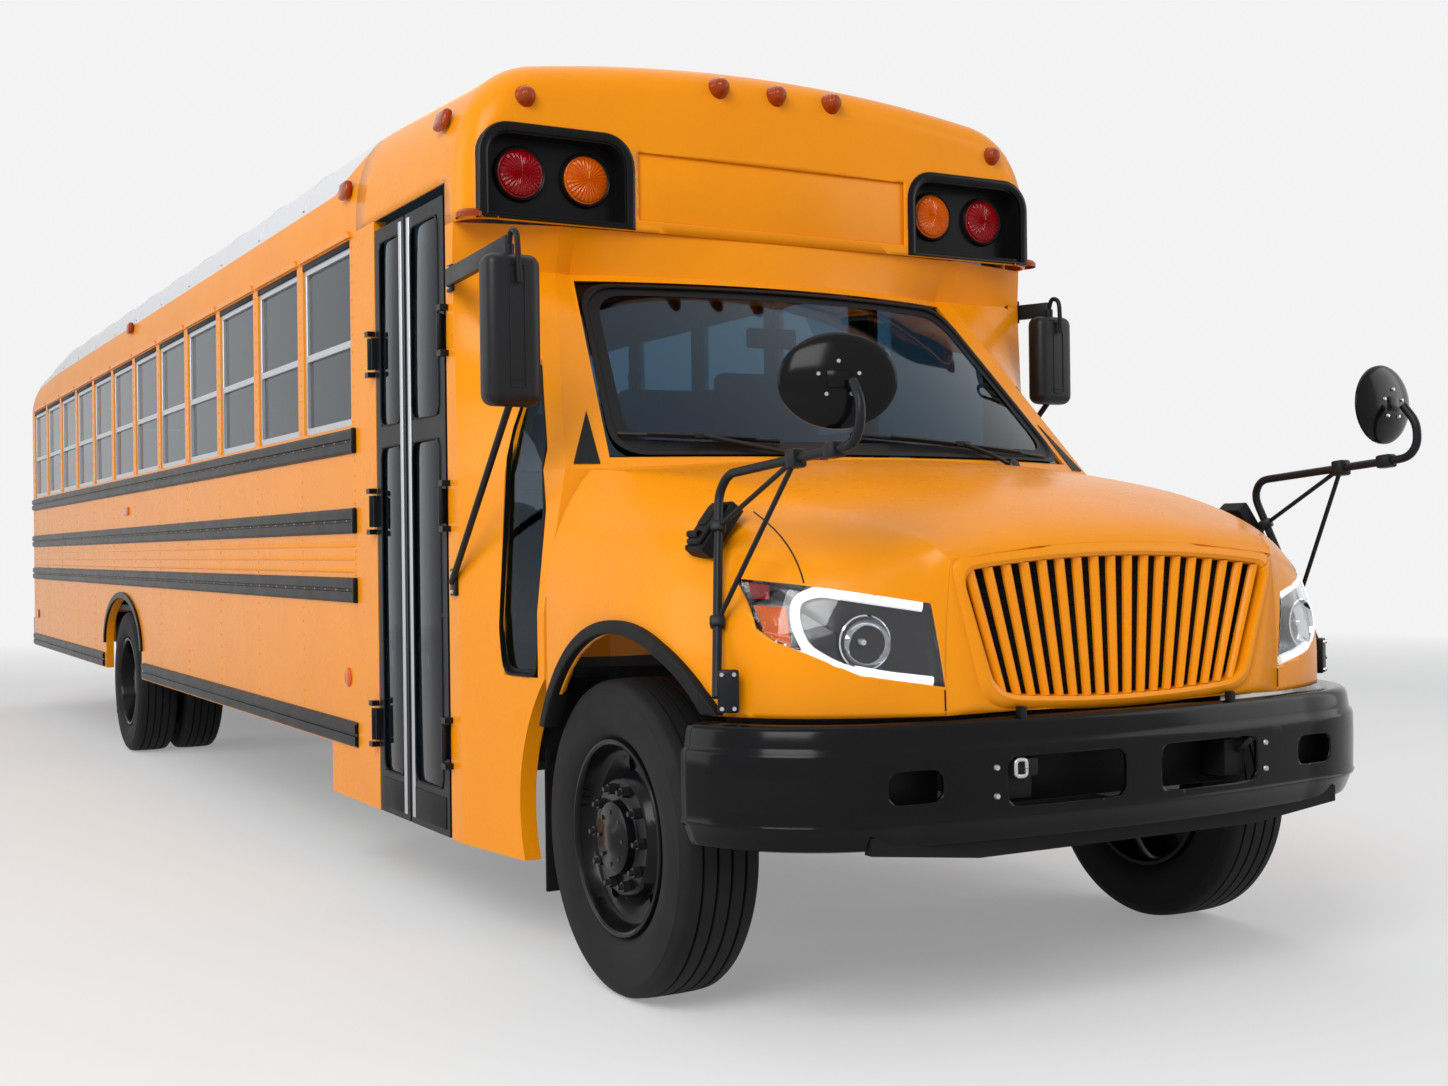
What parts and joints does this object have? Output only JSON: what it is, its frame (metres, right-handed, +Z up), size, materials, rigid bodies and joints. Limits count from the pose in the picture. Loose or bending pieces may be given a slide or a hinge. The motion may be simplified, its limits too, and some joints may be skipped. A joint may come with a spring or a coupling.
{
  "type": "school bus",
  "caption": "Conventional long school bus with a tilting hood, two-leaf entrance door, rear emergency door, steered front wheels and twin rear wheels.",
  "frame": {"origin": "road level, midway along and across the whole bus", "axes": "-Y is the way the bus drives, +Y its length towards the rear, -X the entrance door's side, +Z up"},
  "size_m": [2.76, 12.7017, 3.0399],
  "materials": {
    "bus_yellow": "gloss",
    "roof_white": "gloss",
    "frame_black": "satin",
    "trim_black": "satin",
    "bumper_black": "gloss",
    "wheel_black": "gloss",
    "floor_rubber": "ribbed",
    "flap_rubber": "matte",
    "tyre": "matte",
    "sash_aluminium": "satin",
    "steel": "dull",
    "iron": "rough",
    "glass": "tinted",
    "lamp_amber": "ribbed lens",
    "lamp_clear": "clear lens",
    "stop_red": "gloss",
    "seat_vinyl": "grained vinyl",
    "dash_plastic": "grained",
    "moulding_black": "moulded"
  },
  "bodies": {
    "chassis": {"frame_rails": "frame_black", "cross_members": "frame_black", "leaf_springs": "steel", "floor": "floor_rubber", "side_wall_right": "bus_yellow", "side_wall_left": "bus_yellow", "roof": "roof_white", "front_cap": "bus_yellow", "rear_wall": "bus_yellow", "cowl": "bus_yellow", "windshield_frame": "bus_yellow", "windshield": "glass", "window_sashes": "sash_aluminium", "side_glass": "glass", "rub_rails": "trim_black", "lamp_housings": "trim_black", "lamps": "lamp_amber", "front_bumper": "bumper_black", "rear_bumper": "bumper_black", "engine": "iron", "radiator": "frame_black", "front_axle": "frame_black", "rear_axle": "frame_black", "drive_shaft": "steel", "fuel_tank": "frame_black", "exhaust": "steel", "seats": "seat_vinyl", "dashboard": "dash_plastic", "rear_view_mirrors": "moulding_black", "mud_flaps": "flap_rubber"},
    "hood": {"hood": "bus_yellow", "grille": "bus_yellow", "headlamps": "lamp_clear", "flares_and_latches": "flap_rubber", "cross_view_mirrors": "moulding_black"},
    "knuckle_right": {"knuckle_right": "iron"},
    "knuckle_left": {"knuckle_left": "iron"},
    "front_wheel_right": {"front_wheel_right": "wheel_black", "front_tyre_right": "tyre"},
    "front_wheel_left": {"front_wheel_left": "wheel_black", "front_tyre_left": "tyre"},
    "rear_wheels_right": {"rear_wheels_right": "wheel_black", "rear_tyres_right": "tyre"},
    "rear_wheels_left": {"rear_wheels_left": "wheel_black", "rear_tyres_left": "tyre"},
    "door_front": {"door_leaf_front": "trim_black", "door_glass_front": "glass"},
    "door_rear": {"door_leaf_rear": "trim_black", "door_glass_rear": "glass"},
    "emergency_door": {"emergency_door": "bus_yellow", "emergency_door_glass": "glass"},
    "stop_arm": {"stop_arm": "stop_red"}
  },
  "joints": [
    {"name": "hood_tilt", "type": "hinge", "parent": "chassis", "child": "hood", "pos_m": [0, -6.174, 0.862], "axis": [1, 0, 0], "range_deg": [0, 62]},
    {"name": "steer_right", "type": "hinge", "parent": "chassis", "child": "knuckle_right", "pos_m": [-0.84, -5.239, 0.46], "axis": [0, 0, 1], "range_deg": [-35, 35]},
    {"name": "steer_left", "type": "hinge", "parent": "chassis", "child": "knuckle_left", "pos_m": [0.84, -5.239, 0.46], "axis": [0, 0, 1], "range_deg": [-35, 35]},
    {"name": "wheel_front_right", "type": "hinge", "parent": "knuckle_right", "child": "front_wheel_right", "pos_m": [-1.01, -5.239, 0.46], "axis": [1, 0, 0], "continuous": true},
    {"name": "wheel_front_left", "type": "hinge", "parent": "knuckle_left", "child": "front_wheel_left", "pos_m": [1.01, -5.239, 0.46], "axis": [1, 0, 0], "continuous": true},
    {"name": "wheels_rear_right", "type": "hinge", "parent": "chassis", "child": "rear_wheels_right", "pos_m": [-0.933, 2.011, 0.46], "axis": [1, 0, 0], "continuous": true},
    {"name": "wheels_rear_left", "type": "hinge", "parent": "chassis", "child": "rear_wheels_left", "pos_m": [0.933, 2.011, 0.46], "axis": [1, 0, 0], "continuous": true},
    {"name": "door_front_swing", "type": "hinge", "parent": "chassis", "child": "door_front", "pos_m": [-1.241, -4.154, 1.416], "axis": [0, 0, 1], "range_deg": [0, 88]},
    {"name": "door_rear_swing", "type": "hinge", "parent": "chassis", "child": "door_rear", "pos_m": [-1.241, -3.384, 1.416], "axis": [0, 0, -1], "range_deg": [0, 88]},
    {"name": "emergency_door_swing", "type": "hinge", "parent": "chassis", "child": "emergency_door", "pos_m": [-0.332, 6.303, 1.695], "axis": [0, 0, 1], "range_deg": [0, 110]},
    {"name": "stop_arm_swing", "type": "hinge", "parent": "chassis", "child": "stop_arm", "pos_m": [1.252, -3.874, 1.44], "axis": [0, 0, -1], "range_deg": [0, 90]}
  ],
  "couplings": [
    {"joint": "steer_left", "follows": "steer_right", "ratio": 1},
    {"joint": "door_rear_swing", "follows": "door_front_swing", "ratio": 1}
  ]
}
